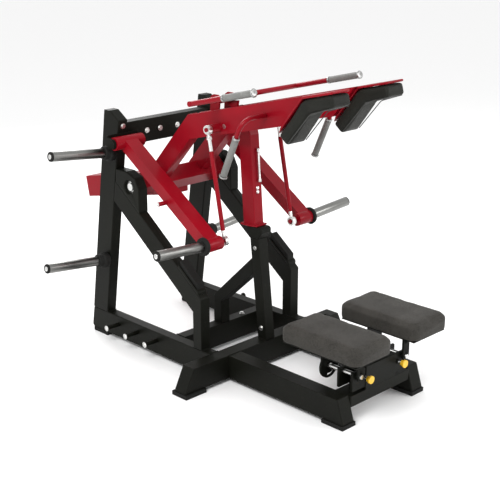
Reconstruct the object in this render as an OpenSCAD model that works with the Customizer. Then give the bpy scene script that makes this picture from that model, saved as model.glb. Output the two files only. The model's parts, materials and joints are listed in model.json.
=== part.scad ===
// Plate-loaded leg press machine with a standing squat lever, shoulder pads and foot pads.
// Millimetres, +Z up, -Y is the user's side. The origin is on the floor on the machine's mid plane.

/* [Frame] */
// Width over the outer faces of the two uprights
frame_w = 710; // [640:10:800]
// Height of the top end of the uprights
upright_h = 1265; // [1180:5:1340]
// Width across X of the upright and brace tubes
tube_w = 60; // [50:5:70]
// Depth of the frame tubes along their long side
tube_d = 120; // [100:5:130]
// Length of the tapered cross beam over its feet
cross_beam_l = 1180; // [1000:20:1300]
// Distance from the cross beam to the front end of the forward rails
forward_rail_l = 745; // [680:5:800]

/* [Press arm] */
// Height of the main pivot above the floor
pivot_z = 885; // [870:1:900]
// Distance between the centre lines of the two arms
arm_gap = 278; // [250:2:300]
// Slope of the arms above the horizontal, in degrees
arm_slope = 13.8; // [12:0.2:16]
// Length of the counterbalance tail behind the pivot
tail_l = 770; // [600:10:800]

/* [Pads] */
// Length of each foot pad
foot_pad_l = 480; // [380:4:500]
// Width of each foot pad
foot_pad_w = 276; // [220:4:284]
// Thickness of each foot pad
foot_pad_t = 88; // [60:2:100]
// Width of each shoulder pad
shoulder_pad_w = 130; // [110:2:150]

/* [Plate horns] */
// Radius of the plate horns
horn_r = 25; // [20:0.5:26]
// Free length of the loading horns
load_horn_l = 275; // [200:5:360]
// Free length of the storage horns
store_horn_l = 310; // [200:5:380]

/* [Hidden] */
$fn = 64;

FRAME_BLACK = [0.17, 0.18, 0.16];
ARM_RED = [0.62, 0.08, 0.14];
STEEL = [0.72, 0.72, 0.74];
RUBBER = [0.08, 0.08, 0.08];
PAD_DARK = [0.14, 0.15, 0.13];
GRIP_GREY = [0.55, 0.57, 0.56];
KNOB_YELLOW = [0.93, 0.72, 0.15];

// Frame places
foot_t = 20;
rail_top = foot_t + tube_d;
upright_x = frame_w / 2 - tube_w / 2;
upright_in = frame_w / 2 - tube_w;
upright_lean = 0.149;
upright_rear_foot = 742;
upright_depth = tube_d / cos(atan(upright_lean));
cross_beam_w = 80;
cross_beam_y = -296;
cross_beam_top_l = cross_beam_l - 120;
forward_rail_w = 80;
forward_rail_x = 258;
forward_rail_in = forward_rail_x - forward_rail_w / 2;
front_end_y = cross_beam_y - forward_rail_l;
front_tube_y = front_end_y + 25;
front_tube_w = 100;
front_tube_z = 80;
front_tube_h = 55;
front_tube_top = front_tube_z + front_tube_h;
rear_tube_y = 37;
post_w = 60;
post_front_y = -296;
post_lean = 0.11;
post_top_z = 672;
saddle_top_z = 733;
brace_post_y = -158;
brace_slope = 0.752;
brace_rise = 100 / cos(atan(brace_slope));
brace_knee_z = 335;

// Main pivot and press arm places
pivot_y = 380;
beam_side = 90;
beam_half_l = upright_in - 10;
stub_r = 20;
arm_w = 60;
arm_d = 120;
arm_x = arm_gap / 2;
arm_out = arm_x + arm_w / 2;
arm_in = arm_x - arm_w / 2;
arm_top_z = pivot_z + 387;
arm_top_y = 119;
arm_rise = tan(arm_slope);
arm_d_vertical = arm_d / cos(arm_slope);
pad_top_rear_y = -714;
pad_top_front_y = -890;
pad_back_slope = 1.23;
pad_plate_t = 12;
shoulder_x = 188;
strut_pivot_y = -138;
strut_pivot_z = pivot_z + 365;
lever_pivot_y = 44;
lever_pivot_z = pivot_z + 450;
lever_bar_y = -119;
lever_bar_z = pivot_z + 497;
lever_bar_r = 13;
foot_y = -172;
foot_reach = norm([foot_y - 58 - strut_pivot_y, saddle_top_z + 1 - strut_pivot_z]);
saddle_tilt = 6.7;
saddle_level_z = strut_pivot_z - (foot_reach + 0.8) / cos(saddle_tilt);
saddle_crest_y = strut_pivot_y - (saddle_top_z - saddle_level_z) / tan(saddle_tilt);
heel_y = (lever_pivot_y + strut_pivot_y) / 2;
heel_z = (lever_pivot_z + strut_pivot_z) / 2;
lever_half_w = 362;
lever_handle_l = 425;
grip_r = 17;
grip_x = 321;
grip_arm_y = -420;

// Weight arm and link places
hub_y = 409;
hub_z = pivot_z + 230;
hub_r = 34;
hub_half_l = 90;
axle_r = 15;
weight_x = 326;
weight_arm_w = 80;
weight_arm_d = 60;
weight_end_y = -211;
weight_end_z = pivot_z - 180;
weight_pin_r = 10;
link_x = 240;
link_top_y = -102;
link_top_z = pivot_z + 354;
link_tilt = 4;
store_tilt = 6;

// Foot pad places
foot_pad_x = 209;
foot_pad_bottom = 345;
foot_pad_front_y = front_end_y - 109;
pad_pivot_x = 168;
pad_pivot_z = 222;
pad_shaft_r = 11;
pin_x = 126;
pin_z = 203;
pin_r = 6;
pin_housing_r = 12;
ped_half_w = 112;
ped_front_y = front_tube_y;
ped_rear_y = front_tube_y + front_tube_w;
rear_lug_y = ped_rear_y + 74;
rear_lug_r = 62;
pad_swing = 75;
front_lug_y = front_tube_y - 15;
running = 0.05;

function saddle_line(y) = saddle_level_z - (y - strut_pivot_y) * tan(saddle_tilt);
function upright_rear(z) = upright_rear_foot - (z - foot_t) * upright_lean;
function upright_front(z) = upright_rear(z) - upright_depth;
function brace_low(y) = brace_knee_z + (y - brace_post_y - tube_w) * brace_slope;
function brace_top(y) = brace_low(y) + brace_rise;
function arm_top(y) = arm_top_z + (arm_top_y - y) * arm_rise;
function arm_bottom(y) = arm_top(y) - arm_d_vertical;
function post_rear(z) = post_front_y + post_w + (z - rail_top) * post_lean;

// Draws a Y-Z outline as a slab of the given width, centred on x.
module slab(x, width, points) {
    translate([x - width / 2, 0, 0])
        rotate([90, 0, 90])
        linear_extrude(height = width)
        polygon(points);
}

// Draws a cylinder along X from x0 to x1 at the given y and z.
module bar_x(x0, x1, y, z, r) {
    translate([min(x0, x1), y, z])
        rotate([0, 90, 0])
        cylinder(r = r, h = abs(x1 - x0));
}

// Draws a cylinder along Y from y0 to y1 at the given x and z.
module bar_y(x, y0, y1, z, r) {
    translate([x, max(y0, y1), z])
        rotate([90, 0, 0])
        cylinder(r = r, h = abs(y1 - y0));
}

// Draws a cylinder between two points.
module bar(a, b, r) {
    d = b - a;
    l = norm(d);
    translate(a)
        rotate([0, acos(d[2] / l), atan2(d[1], d[0])])
        cylinder(r = r, h = l);
}

// Draws its children on both sides of the mid plane.
module both() {
    children();
    mirror([1, 0, 0]) children();
}

// ---- Frame ----

module uprights() {
    corner_in = upright_front(rail_top);
    color(FRAME_BLACK)
        both() slab(upright_x, tube_w, [
            [corner_in, rail_top],
            [upright_rear(rail_top), rail_top],
            [upright_rear(upright_h), upright_h],
            [upright_rear(upright_h) - 45, upright_h],
            [upright_front(upright_h - 45), upright_h - 45]
        ]);
}

module side_rails() {
    color(FRAME_BLACK)
        both() slab(upright_x, tube_w, [
            [cross_beam_y + cross_beam_w, foot_t],
            [upright_rear_foot - 15, foot_t],
            [upright_rear_foot, foot_t + 15],
            [upright_rear(rail_top), rail_top],
            [cross_beam_y + cross_beam_w, rail_top]
        ]);
}

module main_cross_beam() {
    color(FRAME_BLACK)
        translate([0, cross_beam_y + cross_beam_w, 0])
        rotate([90, 0, 0])
        linear_extrude(height = cross_beam_w)
        polygon([
            [-cross_beam_l / 2, foot_t],
            [cross_beam_l / 2, foot_t],
            [cross_beam_top_l / 2, rail_top],
            [-cross_beam_top_l / 2, rail_top]
        ]);
}

module forward_rails() {
    color(FRAME_BLACK)
        both() slab(forward_rail_x, forward_rail_w, [
            [cross_beam_y, foot_t],
            [cross_beam_y, rail_top],
            [front_end_y + 39, rail_top],
            [front_end_y, foot_t]
        ]);
}

module front_cross_tube() {
    color(FRAME_BLACK)
        translate([-forward_rail_in, front_tube_y, front_tube_z])
        cube([2 * forward_rail_in, front_tube_w, front_tube_h]);
}

module top_cross_tube() {
    color(FRAME_BLACK)
        translate([-upright_in, upright_front(1080) + 5, 1080])
        cube([2 * upright_in, tube_w, tube_d]);
}

module rear_cross_tube() {
    color(FRAME_BLACK)
        translate([-upright_in, rear_tube_y, foot_t])
        cube([2 * upright_in, tube_w, tube_d]);
}

// The brace stands on the side rail, then leans back to the upright.
module braces() {
    meet_low_y = 503;
    meet_top_y = 486;
    color(FRAME_BLACK)
        both() difference() {
            slab(upright_x, tube_w, [
                [brace_post_y, rail_top],
                [brace_post_y + tube_w, rail_top],
                [brace_post_y + tube_w, brace_knee_z],
                [meet_low_y + 40, brace_low(meet_low_y + 40)],
                [meet_top_y + 40, brace_top(meet_top_y + 40)],
                [brace_post_y, brace_top(brace_post_y)]
            ]);
            slab(upright_x, tube_w + 2, [
                [upright_front(600), 600],
                [upright_front(600) + 200, 600],
                [upright_front(1100) + 200, 1100],
                [upright_front(1100), 1100]
            ]);
        }
}

module centre_post() {
    color(FRAME_BLACK)
        slab(0, post_w, [
            [post_rear(rail_top) - post_w, rail_top],
            [post_rear(rail_top), rail_top],
            [post_rear(post_top_z), post_top_z],
            [post_rear(post_top_z) - post_w, post_top_z]
        ]);
}

module centre_brace() {
    top_z = 562;
    color(FRAME_BLACK)
        slab(0, post_w, [
            [rear_tube_y, rail_top],
            [rear_tube_y + tube_w, rail_top],
            [rear_tube_y + tube_w, 290],
            [post_rear(top_z), top_z],
            [post_rear(top_z - 82), top_z - 82],
            [rear_tube_y, 268]
        ]);
}

// The saddle's top slopes under the arc of the strut's foot, so the strut can swing back off it.
module post_saddle() {
    base_y = post_rear(post_top_z);
    color(FRAME_BLACK)
        slab(0, post_w + 8, [
            [base_y - post_w, post_top_z],
            [base_y, post_top_z],
            [base_y + 30, saddle_top_z - 25],
            [base_y + 30, saddle_line(base_y + 30) - 8],
            [base_y + 22, saddle_line(base_y + 22)],
            [saddle_crest_y, saddle_top_z],
            [base_y - post_w - 14, saddle_top_z],
            [base_y - post_w - 24, saddle_top_z - 10],
            [base_y - post_w - 24, saddle_top_z - 28]
        ]);
}

module bearing_housings() {
    color(FRAME_BLACK)
        both() difference() {
            slab(upright_x, tube_w, [
                [pivot_y - 80, brace_top(pivot_y - 80)],
                [486, brace_top(486)],
                [upright_front(pivot_z + 80), pivot_z + 80],
                [pivot_y + 15, pivot_z + 80],
                [pivot_y - 50, pivot_z + 55],
                [pivot_y - 80, pivot_z]
            ]);
            bar_x(upright_in - 1, upright_in + tube_w + 1, pivot_y, pivot_z, 36);
            slab(upright_x, tube_w + 2, [
                [upright_front(800), 800],
                [upright_front(800) + 100, 800],
                [upright_front(1000) + 100, 1000],
                [upright_front(1000), 1000]
            ]);
        }
}

module pivot_bearings() {
    color(STEEL)
        both() difference() {
            bar_x(upright_in, upright_in + 40, pivot_y, pivot_z, 36);
            bar_x(upright_in - 1, upright_in + 41, pivot_y, pivot_z, stub_r + running);
        }
}

// Draws a strip lying on the brace from y0 to y1, between two heights above its top face.
module on_brace(width, y0, y1, low, high) {
    k = 1 / cos(atan(brace_slope));
    slab(upright_x, width, [
        [y0, brace_top(y0) + low * k],
        [y1, brace_top(y1) + low * k],
        [y1, brace_top(y1) + high * k],
        [y0, brace_top(y0) + high * k]
    ]);
}

module bumper_brackets() {
    color(FRAME_BLACK) both() on_brace(tube_w, -140, 10, 0, 14);
}

module bumper_strips() {
    color(RUBBER) both() on_brace(44, -128, -2, 14, 38);
}

module rubber_foot(x0, x1, y0, y1) {
    translate([x0, y0, 0]) cube([x1 - x0, y1 - y0, foot_t]);
}

module rubber_feet() {
    color(RUBBER)
        both() {
            rubber_foot(forward_rail_in - 6, forward_rail_in + forward_rail_w + 6, front_end_y - 3, front_end_y + 127);
            rubber_foot(cross_beam_l / 2 - 130, cross_beam_l / 2 + 3, cross_beam_y - 12, cross_beam_y + cross_beam_w + 12);
            rubber_foot(upright_in - 2, upright_in + tube_w + 2, upright_rear_foot - 135, upright_rear_foot - 15);
        }
}

// Places its children at each storage horn root, with +Z along the horn.
module at_storage_horns() {
    both() {
        translate([frame_w / 2, upright_rear(1050) - 98, 1050]) rotate([0, 90 - store_tilt, 0]) children();
        translate([frame_w / 2, upright_rear(448) - 98, 448]) rotate([0, 90 - store_tilt, 0]) children();
    }
}

module storage_horns() {
    color(STEEL)
        at_storage_horns() {
            translate([0, 0, 8]) cylinder(r = horn_r - 3, h = 80);
            translate([0, 0, 72]) cylinder(r = horn_r, h = store_horn_l + 6);
        }
}

module storage_trim() {
    color(RUBBER)
        at_storage_horns() {
            difference() {
                union() {
                    translate([0, 0, 8]) cylinder(r = 42, h = 34);
                    translate([0, 0, 42]) cylinder(r = 34, h = 30);
                }
                translate([0, 0, -1]) cylinder(r = horn_r - 3, h = 90);
            }
            translate([0, 0, store_horn_l + 78]) cylinder(r = horn_r, h = 8);
        }
}

module band_pegs() {
    color(FRAME_BLACK)
        both() for (i = [0:2]) {
            bar_x(frame_w / 2, frame_w / 2 + 78, 505 - 159 * i, 94, 11);
            bar_x(frame_w / 2 + 78, frame_w / 2 + 84, 505 - 159 * i, 94, 17);
        }
}

module hub_axles() {
    plate_y = hub_y + hub_r + 3;
    ear_t = 8;
    x0 = weight_x - hub_half_l - 2;
    x1 = weight_x + hub_half_l + 2;
    color(FRAME_BLACK)
        both() {
            slab(weight_x, x1 - x0 + 2 * ear_t, [
                [plate_y, hub_z - 16],
                [upright_front(hub_z - 16), hub_z - 16],
                [upright_front(hub_z + 40), hub_z + 40],
                [plate_y, hub_z + 40]
            ]);
            for (x = [x0 - ear_t, x1])
                slab(x + ear_t / 2, ear_t, [
                    [plate_y, hub_z - 30],
                    [plate_y, hub_z + 30],
                    [hub_y - 12, hub_z + 24],
                    [hub_y - 24, hub_z + 12],
                    [hub_y - 24, hub_z - 12],
                    [hub_y - 12, hub_z - 24]
                ]);
            bar_x(x0, x1, hub_y, hub_z, axle_r);
            bar_x(x1 + ear_t, x1 + ear_t + 6, hub_y, hub_z, 22);
        }
}

// The pedestal carries both foot pads: ears hold the hinge shafts and a rear fin stops the pads.
module pedestal() {
    ear_t = 12;
    color(FRAME_BLACK)
        difference() {
            union() {
                translate([-ped_half_w, ped_front_y, front_tube_top])
                    cube([2 * ped_half_w, front_tube_w, 115]);
                for (y = [ped_front_y + 4, ped_rear_y - 4 - ear_t])
                    translate([-205, y, 150]) cube([410, ear_t, 95]);
                translate([-25, ped_rear_y, 200]) cube([50, 250, 50]);
                translate([0, ped_rear_y, 0])
                    slab(0, 14, [[196, 250], [276, 250], [288, 330], [278, 368], [251, 385], [221, 378], [201, 350]]);
            }
            both() {
                bar_y(pad_pivot_x, ped_front_y - 1, ped_rear_y + 1, pad_pivot_z, pad_shaft_r);
                bar_y(pin_x, ped_front_y - 1, ped_rear_y + 1, pin_z, pin_housing_r);
            }
        }
}

module pad_shafts() {
    color(STEEL)
        both() {
            bar_y(pad_pivot_x, front_lug_y - 6, rear_lug_y + 20, pad_pivot_z, pad_shaft_r);
            bar_y(pad_pivot_x, rear_lug_y - 10, rear_lug_y - 2, pad_pivot_z, 15);
        }
}

module pin_housings() {
    color(FRAME_BLACK)
        both() difference() {
            bar_y(pin_x, ped_front_y - 4, rear_lug_y - 10, pin_z, pin_housing_r);
            bar_y(pin_x, ped_front_y - 5, rear_lug_y - 9, pin_z, pin_r + running);
        }
}

module bolt_head(r, h) {
    cylinder(r = r * 1.35, h = 2.5);
    translate([0, 0, 2.5]) cylinder(r = r, h = h, $fn = 6);
}

module frame_bolts() {
    cross_y = upright_front(1080) + 5;
    color(STEEL)
        both() {
            for (x = [60, 150])
                translate([x, cross_y, 1140]) rotate([90, 0, 0]) bolt_head(11, 7);
            translate([upright_x, upright_front(1190), 1190]) rotate([90 + atan(upright_lean), 0, 0]) bolt_head(11, 7);
            translate([frame_w / 2, -190, 80]) rotate([0, 90, 0]) bolt_head(10, 7);
            translate([post_w / 2, post_rear(200) - post_w / 2, 200]) rotate([0, 90, 0]) bolt_head(10, 7);
            translate([150, rear_tube_y + tube_w / 2, rail_top]) bolt_head(10, 7);
            translate([post_w / 2, post_rear(620) - post_w / 2, 620]) rotate([0, 90, 0]) bolt_head(8, 5);
        }
}

// ---- Press arm ----

module diamond(grow, half_l) {
    h = (beam_side / 2 + grow) * sqrt(2);
    slab(0, 2 * half_l, [
        [pivot_y - h, pivot_z],
        [pivot_y, pivot_z - h],
        [pivot_y + h, pivot_z],
        [pivot_y, pivot_z + h]
    ]);
}

module pivot_beam() {
    color(ARM_RED) diamond(0, beam_half_l);
}

module arm_shafts() {
    color(STEEL) {
        both() bar_x(beam_half_l, upright_in + 50, pivot_y, pivot_z, stub_r);
        bar_x(-arm_out, arm_out, strut_pivot_y, strut_pivot_z, 12);
    }
}

module forearm_outline(side, width) {
    slab(side * arm_x, width, [
        [arm_top_y, arm_top(arm_top_y)],
        [arm_top_y - 10, arm_bottom(arm_top_y - 10)],
        [-585, arm_bottom(-585)],
        [pad_top_rear_y, arm_top(pad_top_rear_y)]
    ]);
}

module forearm(side) {
    color(ARM_RED)
        difference() {
            forearm_outline(side, arm_w);
            bar_x(side * (arm_in - 1), side * (arm_out + 1), strut_pivot_y, strut_pivot_z, 12);
        }
    color(ARM_RED)
        bar_x(side * arm_out, side * (link_x - 14), link_top_y, link_top_z, 22);
    color(ARM_RED)
        bar_x(side * (link_x - 14), side * (link_x + 16), link_top_y, link_top_z, weight_pin_r);
}
module forearm_left() { forearm(-1); }
module forearm_right() { forearm(1); }

module arm_leg(side) {
    leg_y = 401;
    leg_z = pivot_z + 18;
    knee_y = 114;
    knee_z = pivot_z + 330;
    run = [knee_y - leg_y, knee_z - leg_z] / norm([knee_y - leg_y, knee_z - leg_z]);
    across = [run[1], -run[0]] * 45;
    low = [leg_y, leg_z];
    high = [knee_y, knee_z] + run * 40;
    color(ARM_RED)
        difference() {
            slab(side * arm_x, arm_w, [low + across, high + across, high - across, low - across]);
            diamond(0, beam_half_l);
            slab(side * arm_x, arm_w + 2, [
                [arm_top_y, arm_top(arm_top_y) + 200],
                [arm_top_y, arm_top(arm_top_y)],
                [arm_top_y - 10, arm_bottom(arm_top_y - 10)],
                [-585, arm_bottom(-585)],
                [-585, arm_top(-585) + 200]
            ]);
        }
}
module arm_leg_left() { arm_leg(-1); }
module arm_leg_right() { arm_leg(1); }

module tail_beam() {
    end_y = pivot_y + tail_l;
    mid_z = pivot_z - 34;
    drop = 0.2033;
    color(ARM_RED)
        difference() {
            slab(0, 120, [
                [pivot_y + 10, mid_z + 60],
                [end_y, mid_z + 61 - drop * tail_l],
                [end_y - 24, mid_z - 61 - drop * (tail_l - 24)],
                [pivot_y + 10, mid_z - 63]
            ]);
            diamond(0, beam_half_l);
        }
}

module arm_tie() {
    color(ARM_RED)
        slab(0, 2 * arm_in, [
            [15, arm_top(15)],
            [100, arm_top(100)],
            [100, arm_top(100) - 60],
            [15, arm_top(15) - 60]
        ]);
}

// The shoulder pad is an L seen from the side: one run on the shoulder, one in front of the chest.
module shoulder_pad(side) {
    run_top = arm_top(pad_top_rear_y) - pad_plate_t;
    front_top = arm_top(pad_top_front_y) - pad_plate_t;
    color(PAD_DARK)
        slab(side * shoulder_x, shoulder_pad_w, [
            [pad_top_rear_y, run_top],
            [pad_top_front_y + 10, front_top - 4],
            [pad_top_front_y - 2, front_top - 10],
            [pad_top_front_y - 3, front_top - 56],
            [pad_top_front_y + 6, front_top - 67],
            [pad_top_rear_y - 43, run_top - 61],
            [pad_top_rear_y + 76, run_top - 215],
            [pad_top_rear_y + 88, run_top - 219],
            [pad_top_rear_y + 143, run_top - 195],
            [pad_top_rear_y + 148, run_top - 148 * pad_back_slope]
        ]);
}
module shoulder_pad_left() { shoulder_pad(-1); }
module shoulder_pad_right() { shoulder_pad(1); }

module pad_plates() {
    run_top = arm_top(pad_top_rear_y) - pad_plate_t;
    color(ARM_RED)
        both() slab(shoulder_x, shoulder_pad_w - 8, [
            [pad_top_rear_y, run_top],
            [pad_top_front_y + 6, arm_top(pad_top_front_y + 6) - pad_plate_t],
            [pad_top_front_y + 6, arm_top(pad_top_front_y + 6)],
            [pad_top_rear_y, arm_top(pad_top_rear_y)],
            [-585, arm_bottom(-585)],
            [pad_top_rear_y + 140, run_top - 140 * pad_back_slope]
        ]);
}

// Each grip rod leaves the side of the arm, bends down and carries its sleeve.
function grip_root() = [arm_out, grip_arm_y, arm_top(grip_arm_y) - 62];
function grip_dir() = [0, 88, -195] / norm([88, 195]);
function grip_bend() = [grip_x, grip_arm_y + 6, arm_top(grip_arm_y) - 62];

module grip_rods() {
    bend_r = 60;
    root = grip_root();
    corner = grip_bend();
    turn = corner - [bend_r, 0, 0];
    low = corner + grip_dir() * bend_r;
    color(ARM_RED)
        both() {
            bar(root, [turn[0] + 2, root[1], root[2]], 11);
            translate([turn[0], root[1], root[2]])
                rotate([atan2(88, 195), 0, 0])
                translate([0, 0, -bend_r])
                rotate([90, 0, 0])
                rotate_extrude(angle = 90)
                translate([bend_r, 0]) circle(r = 11.4);
            translate([grip_x, root[1], root[2]])
                rotate([atan2(88, 195), 0, 0])
                translate([0, 0, -bend_r - 260])
                cylinder(r = 11, h = 262);
        }
}

module hand_grips() {
    root = grip_root();
    color(GRIP_GREY)
        both()
        translate([grip_x, root[1], root[2]])
        rotate([atan2(88, 195), 0, 0]) {
            difference() {
                translate([0, 0, -308]) cylinder(r = grip_r, h = 200);
                translate([0, 0, -321]) cylinder(r = 11, h = 300);
            }
            translate([0, 0, -326]) cylinder(r = grip_r + 4, h = 6);
        }
}

module lever_mount() {
    color(ARM_RED)
        both() difference() {
            slab(49, 10, [
                [20, arm_top(20)],
                [84, arm_top(84)],
                [78, lever_pivot_z + 20],
                [60, lever_pivot_z + 32],
                [28, lever_pivot_z + 32],
                [14, lever_pivot_z + 18]
            ]);
            bar_x(40, 60, lever_pivot_y, lever_pivot_z, 9);
        }
    color(STEEL) bar_x(-58, 58, lever_pivot_y, lever_pivot_z, 9);
}

// ---- Release lever and prop strut ----

module lever_bar() {
    color(ARM_RED) bar_x(-lever_half_w - lever_bar_r, lever_half_w + lever_bar_r, lever_bar_y, lever_bar_z, lever_bar_r);
    color(ARM_RED)
        difference() {
            union() {
                slab(0, 60, [
                    [lever_pivot_y + 20, lever_pivot_z - 8],
                    [lever_pivot_y + 20, lever_pivot_z + 16],
                    [lever_pivot_y - 10, lever_pivot_z + 24],
                    [lever_bar_y, lever_bar_z + 8],
                    [lever_bar_y, lever_bar_z - 12],
                    [lever_pivot_y - 10, lever_pivot_z - 14]
                ]);
                slab(0, 14, [
                    [lever_pivot_y - 30, lever_pivot_z],
                    [heel_y + 9, heel_z - 2],
                    [heel_y, heel_z - 9],
                    [heel_y - 9, heel_z - 2],
                    [lever_pivot_y - 110, lever_pivot_z + 10]
                ]);
                bar_x(-24, 24, heel_y, heel_z, 6);
            }
            bar_x(-31, 31, lever_pivot_y, lever_pivot_z, 9 + running);
        }
}

module lever_handles() {
    slope = atan(arm_rise);
    color(ARM_RED)
        both()
        difference() {
            translate([lever_half_w, lever_bar_y, lever_bar_z])
                rotate([90 - slope, 0, 0])
                translate([0, 0, 4])
                cylinder(r = lever_bar_r, h = lever_handle_l - 4);
            bar_x(lever_half_w - 30, lever_half_w + 30, lever_bar_y, lever_bar_z, lever_bar_r + 0.05);
        }
}

module lever_grips() {
    slope = atan(arm_rise);
    color(GRIP_GREY)
        both()
        translate([lever_half_w, lever_bar_y, lever_bar_z])
        rotate([90 - slope, 0, 0]) {
            difference() {
                translate([0, 0, lever_handle_l - 190]) cylinder(r = grip_r, h = 190);
                translate([0, 0, lever_handle_l - 191]) cylinder(r = lever_bar_r, h = 192);
            }
            translate([0, 0, lever_handle_l]) cylinder(r = grip_r + 4, h = 7);
        }
}

// The foot is curved round the strut's own pivot.
module prop_strut() {
    color(ARM_RED)
        difference() {
            union() {
                slab(0, 60, [
                    [strut_pivot_y - 40, strut_pivot_z - 60],
                    [strut_pivot_y - 18, strut_pivot_z + 16],
                    [strut_pivot_y + 18, strut_pivot_z + 16],
                    [strut_pivot_y + 40, strut_pivot_z - 60],
                    [foot_y + 40, strut_pivot_z - foot_reach + 6],
                    [foot_y - 40, strut_pivot_z - foot_reach + 11.5]
                ]);
                difference() {
                    intersection() {
                        translate([-38, foot_y - 58, saddle_top_z - 20]) cube([76, 116, 60]);
                        bar_x(-60, 60, strut_pivot_y, strut_pivot_z, foot_reach);
                    }
                    bar_x(-80, 80, strut_pivot_y, strut_pivot_z, foot_reach - 9.6);
                }
                for (x = [-17, 17])
                    difference() {
                        slab(x, 8, [
                            [strut_pivot_y - 14, strut_pivot_z + 14],
                            [strut_pivot_y + 10, strut_pivot_z - 20],
                            [heel_y + 16, heel_z - 9],
                            [heel_y + 4, heel_z + 18]
                        ]);
                        slab(x, 10, [
                            [heel_y - 12.3, heel_z + 2.7],
                            [heel_y - 5.8, heel_z - 11.1],
                            [heel_y + 30, heel_z + 1.5],
                            [heel_y + 22.2, heel_z + 18.7]
                        ]);
                    }
            }
            bar_x(-40, 40, strut_pivot_y, strut_pivot_z, 12 + running);
        }
}

// ---- Weight arms and links ----

module weight_arm(side) {
    run = [weight_end_y - hub_y, weight_end_z - hub_z];
    unit = run / norm(run);
    across = [unit[1], -unit[0]] * weight_arm_d / 2;
    start = [hub_y, hub_z];
    stop = [weight_end_y, weight_end_z] + unit * 14;
    color(ARM_RED)
        difference() {
            union() {
                slab(side * weight_x, weight_arm_w, [start + across, stop + across, stop - across, start - across]);
                bar_x(side * (weight_x - hub_half_l), side * (weight_x + hub_half_l), hub_y, hub_z, hub_r);
                bar_x(side * (weight_x - 52), side * (weight_x + 44), weight_end_y, weight_end_z, 34);
            }
            bar_x(side * (weight_x - hub_half_l - 1), side * (weight_x + hub_half_l + 1), hub_y, hub_z, axle_r + running);
        }
    color(ARM_RED)
        bar_x(side * (link_x - 16), side * (weight_x - 52), weight_end_y, weight_end_z, weight_pin_r);
    color(RUBBER)
        bar_x(side * (weight_x + 38), side * (weight_x + 90), 75, hub_z - 249, 11);
}
module weight_arm_left() { weight_arm(-1); }
module weight_arm_right() { weight_arm(1); }

module at_load_horn(side) {
    translate([side * (weight_x + 44), weight_end_y, weight_end_z])
        rotate([0, side * (90 - link_tilt), 0])
        children();
}

module weight_horn(side) {
    color(STEEL)
        at_load_horn(side) {
            translate([0, 0, 3]) cylinder(r = horn_r - 3, h = 30);
            translate([0, 0, 22]) cylinder(r = horn_r, h = load_horn_l + 3);
        }
}
module weight_horn_left() { weight_horn(-1); }
module weight_horn_right() { weight_horn(1); }

module horn_trim(side) {
    color(RUBBER)
        at_load_horn(side) {
            difference() {
                translate([0, 0, 3]) cylinder(r = 46, h = 19);
                translate([0, 0, 2]) cylinder(r = horn_r - 3, h = 40);
            }
            translate([0, 0, load_horn_l + 25]) cylinder(r = horn_r, h = 8);
        }
}
module horn_trim_left() { horn_trim(-1); }
module horn_trim_right() { horn_trim(1); }

// The link hangs on the arm's pin. Its lower eye is opened, with room for the arc that it can't follow.
open_pivot_gap = 6;

function link_unit(side) = ([0, weight_end_y, weight_end_z] - [0, link_top_y, link_top_z])
    / norm([weight_end_y - link_top_y, weight_end_z - link_top_z]);
function link_top(side) = [side * link_x, link_top_y, link_top_z];
function link_low(side) = [side * link_x, weight_end_y, weight_end_z];

module link_rod(side) {
    unit = link_unit(side);
    color(ARM_RED) bar(link_top(side) + unit * 105, link_low(side) - unit * 52, 11);
}
module link_left() { link_rod(-1); }
module link_right() { link_rod(1); }

module link_end_set(side) {
    unit = link_unit(side);
    color(STEEL)
        difference() {
            union() {
                bar(link_top(side) + unit * 12, link_top(side) + unit * 105, 9);
                bar(link_top(side) + unit * 30, link_top(side) + unit * 48, 13);
                bar(link_low(side) - unit * 52, link_low(side) - unit * 14, 9);
                bar_x(side * (link_x - 11), side * (link_x + 11), link_top_y, link_top_z, 22);
                bar_x(side * (link_x - 11), side * (link_x + 11), weight_end_y, weight_end_z, 24);
            }
            bar_x(side * (link_x - 12), side * (link_x + 12), link_top_y, link_top_z, weight_pin_r + running);
            bar_x(side * (link_x - 12), side * (link_x + 12), weight_end_y, weight_end_z, weight_pin_r + open_pivot_gap);
        }
}
module link_ends_left() { link_end_set(-1); }
module link_ends_right() { link_end_set(1); }

// ---- Foot pads and pull pins ----

module foot_pad(side) {
    corner_r = 45;
    x0 = side * foot_pad_x;
    color(PAD_DARK)
        translate([x0, foot_pad_front_y + foot_pad_l / 2, foot_pad_bottom])
        linear_extrude(height = foot_pad_t)
        union() {
            square([foot_pad_w, foot_pad_l - 2 * corner_r], center = true);
            square([foot_pad_w - 2 * corner_r, foot_pad_l], center = true);
            for (sx = [-1, 1], sy = [-1, 1])
                translate([sx * (foot_pad_w / 2 - corner_r), sy * (foot_pad_l / 2 - corner_r)]) circle(r = corner_r);
        }
}
module foot_pad_left() { foot_pad(-1); }
module foot_pad_right() { foot_pad(1); }

module lug(side, y, t, half_w, r) {
    difference() {
        union() {
            translate([side * pad_pivot_x - half_w, y, pad_pivot_z])
                cube([2 * half_w, t, foot_pad_bottom - 6 - pad_pivot_z]);
            bar_y(side * pad_pivot_x, y, y + t, pad_pivot_z, r);
        }
        bar_y(side * pad_pivot_x, y - 1, y + t + 1, pad_pivot_z, pad_shaft_r + running);
    }
}

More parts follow.
